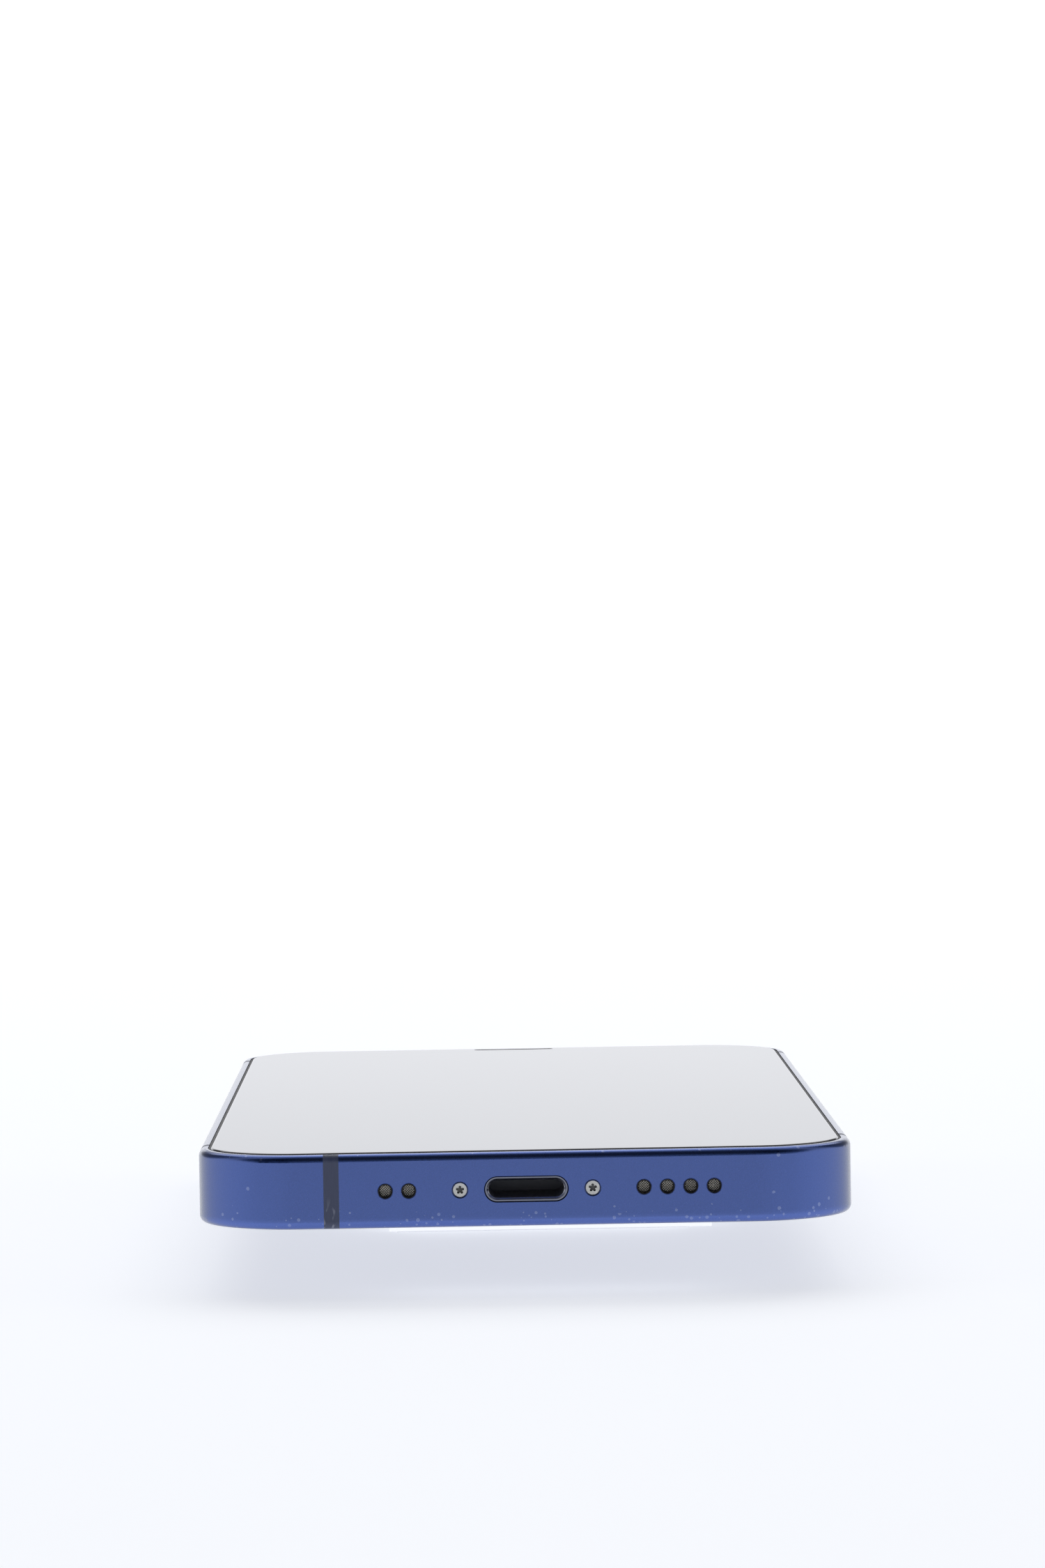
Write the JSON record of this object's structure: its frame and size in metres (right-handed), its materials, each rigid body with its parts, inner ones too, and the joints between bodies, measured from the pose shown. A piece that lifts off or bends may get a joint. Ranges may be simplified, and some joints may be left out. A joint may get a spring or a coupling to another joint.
{
  "type": "smartphone",
  "caption": "Compact touchscreen phone with a flat-sided blue aluminium edge band, glass front and back, charging port, speaker holes, side buttons, SIM tray and rear cameras.",
  "frame": {"origin": "below the phone's centre, level with the outer faces of the rear lens rings", "axes": "+X across the phone to the side key, +Y along it towards the earpiece (the port faces -Y), +Z out of the screen"},
  "size_m": [0.065, 0.1316, 0.0089],
  "materials": {
    "anodised_blue": "bead-blasted and anodised blue, satin",
    "blue_grey_plastic": "matte, moulded and machined flush",
    "black_front_glass": "polished, opaque black behind with the screen off",
    "blue_back_glass": "polished, opaque blue backing",
    "black_gasket": "matte black seal",
    "bare_aluminium": "machined",
    "magnet_nickel": "nickel plated",
    "copper_coil": "enamelled copper winding",
    "ferrite": "matte ferrite sheet",
    "lens_cover": "polished sapphire cover",
    "black_housing": "matte black",
    "led_yellow": "phosphor",
    "diffuser": "translucent white",
    "display_film": "black layered panel",
    "spring_steel": "stamped stainless steel",
    "flex_circuit": "polyimide film",
    "woven_mesh": "woven fine wire",
    "battery_wrap": "black wrap",
    "white_adhesive": "stretch-release adhesive",
    "circuit_board": "dark solder mask",
    "sim_tray_blue": "anodised blue, satin",
    "card_plastic": "white card with gilt contacts",
    "tungsten": "sintered tungsten",
    "gold_contacts": "gold plated"
  },
  "bodies": {
    "phone": {"acoustic_meshes": "woven_mesh", "antenna_breaks": "blue_grey_plastic", "back_glass": "blue_back_glass", "battery": "battery_wrap", "battery_adhesive_strips": "white_adhesive", "board_interposer": "circuit_board", "board_shields": "spring_steel", "bottom_microphone": "black_housing", "bottom_screws": "spring_steel", "button_switches": "spring_steel", "charging_coil": "copper_coil", "charging_flex": "flex_circuit", "coil_shield": "ferrite", "display_back_shield": "spring_steel", "display_flex": "flex_circuit", "display_panel": "display_film", "dot_projector": "black_housing", "earpiece_mesh": "woven_mesh", "earpiece_speaker": "black_housing", "flash_diffuser": "diffuser", "flash_led": "led_yellow", "frame_bottom": "anodised_blue", "frame_bottom_left_corner": "anodised_blue", "frame_left": "anodised_blue", "frame_right": "anodised_blue", "frame_top": "anodised_blue", "frame_top_right_corner": "anodised_blue", "front_camera": "black_housing", "front_glass": "black_front_glass", "glass_gaskets": "black_gasket", "haptic_motor_case": "spring_steel", "haptic_motor_springs": "spring_steel", "infrared_camera": "black_housing", "internal_screws": "spring_steel", "lens_covers": "lens_cover", "lens_rings": "anodised_blue", "loudspeaker": "black_housing", "magnet_ring": "magnet_nickel", "main_board_lower": "circuit_board", "main_board_upper": "circuit_board", "midplate": "bare_aluminium", "port_contacts": "gold_contacts", "port_shell": "spring_steel", "rear_microphone": "black_housing", "sensor_bracket": "spring_steel", "sim_reader": "spring_steel", "ultrawide_camera_housing": "black_housing", "ultrawide_camera_lens": "black_housing", "wide_camera_housing": "black_housing"},
    "volume_up": {"volume_up_button": "anodised_blue"},
    "volume_down": {"volume_down_button": "anodised_blue"},
    "side_key": {"side_button": "anodised_blue"},
    "ring_silent_switch": {"ring_switch": "anodised_blue"},
    "sim_drawer": {"sim_tray": "sim_tray_blue", "sim_card": "card_plastic", "sim_tray_seal": "black_gasket"},
    "eject_rod": {"sim_eject_rod": "spring_steel"},
    "eject_lever": {"sim_eject_lever": "spring_steel"},
    "haptic_weight": {"haptic_motor_mass": "tungsten"},
    "wide_lens": {"wide_camera_lens": "black_housing"}
  },
  "joints": [
    {"name": "volume_up_press", "type": "slide", "parent": "phone", "child": "volume_up", "axis": [1, 0, 0], "range_m": [0, 0.00025], "stiffness_N_per_m": 1500, "springref_m": -0.0002},
    {"name": "volume_down_press", "type": "slide", "parent": "phone", "child": "volume_down", "axis": [1, 0, 0], "range_m": [0, 0.00025], "stiffness_N_per_m": 1500, "springref_m": -0.0002},
    {"name": "side_key_press", "type": "slide", "parent": "phone", "child": "side_key", "axis": [-1, 0, 0], "range_m": [0, 0.00025], "stiffness_N_per_m": 1500, "springref_m": -0.0002},
    {"name": "ring_switch_slide", "type": "slide", "parent": "phone", "child": "ring_silent_switch", "axis": [0, 0, -1], "range_m": [0, 0.001]},
    {"name": "sim_drawer_slide", "type": "slide", "parent": "phone", "child": "sim_drawer", "axis": [-1, 0, 0], "range_m": [0, 0.022]},
    {"name": "eject_rod_slide", "type": "slide", "parent": "phone", "child": "eject_rod", "axis": [1, 0, 0], "range_m": [0, 0.0017]},
    {"name": "eject_lever_pivot", "type": "hinge", "parent": "phone", "child": "eject_lever", "pos_m": [-0.0128, -0.0095, 0.005], "axis": [0, 0, -1], "range_deg": [0, 18]},
    {"name": "haptic_weight_slide", "type": "slide", "parent": "phone", "child": "haptic_weight", "axis": [1, 0, 0], "range_m": [-0.0004, 0.0004], "stiffness_N_per_m": 1500, "deforming": ["haptic_motor_springs"]},
    {"name": "wide_lens_focus", "type": "slide", "parent": "phone", "child": "wide_lens", "axis": [0, 0, 1], "range_m": [-0.0001, 0.0002], "stiffness_N_per_m": 400}
  ],
  "couplings": [
    {"joint": "eject_lever_pivot", "follows": "eject_rod_slide", "rad_per_m": 178}
  ]
}
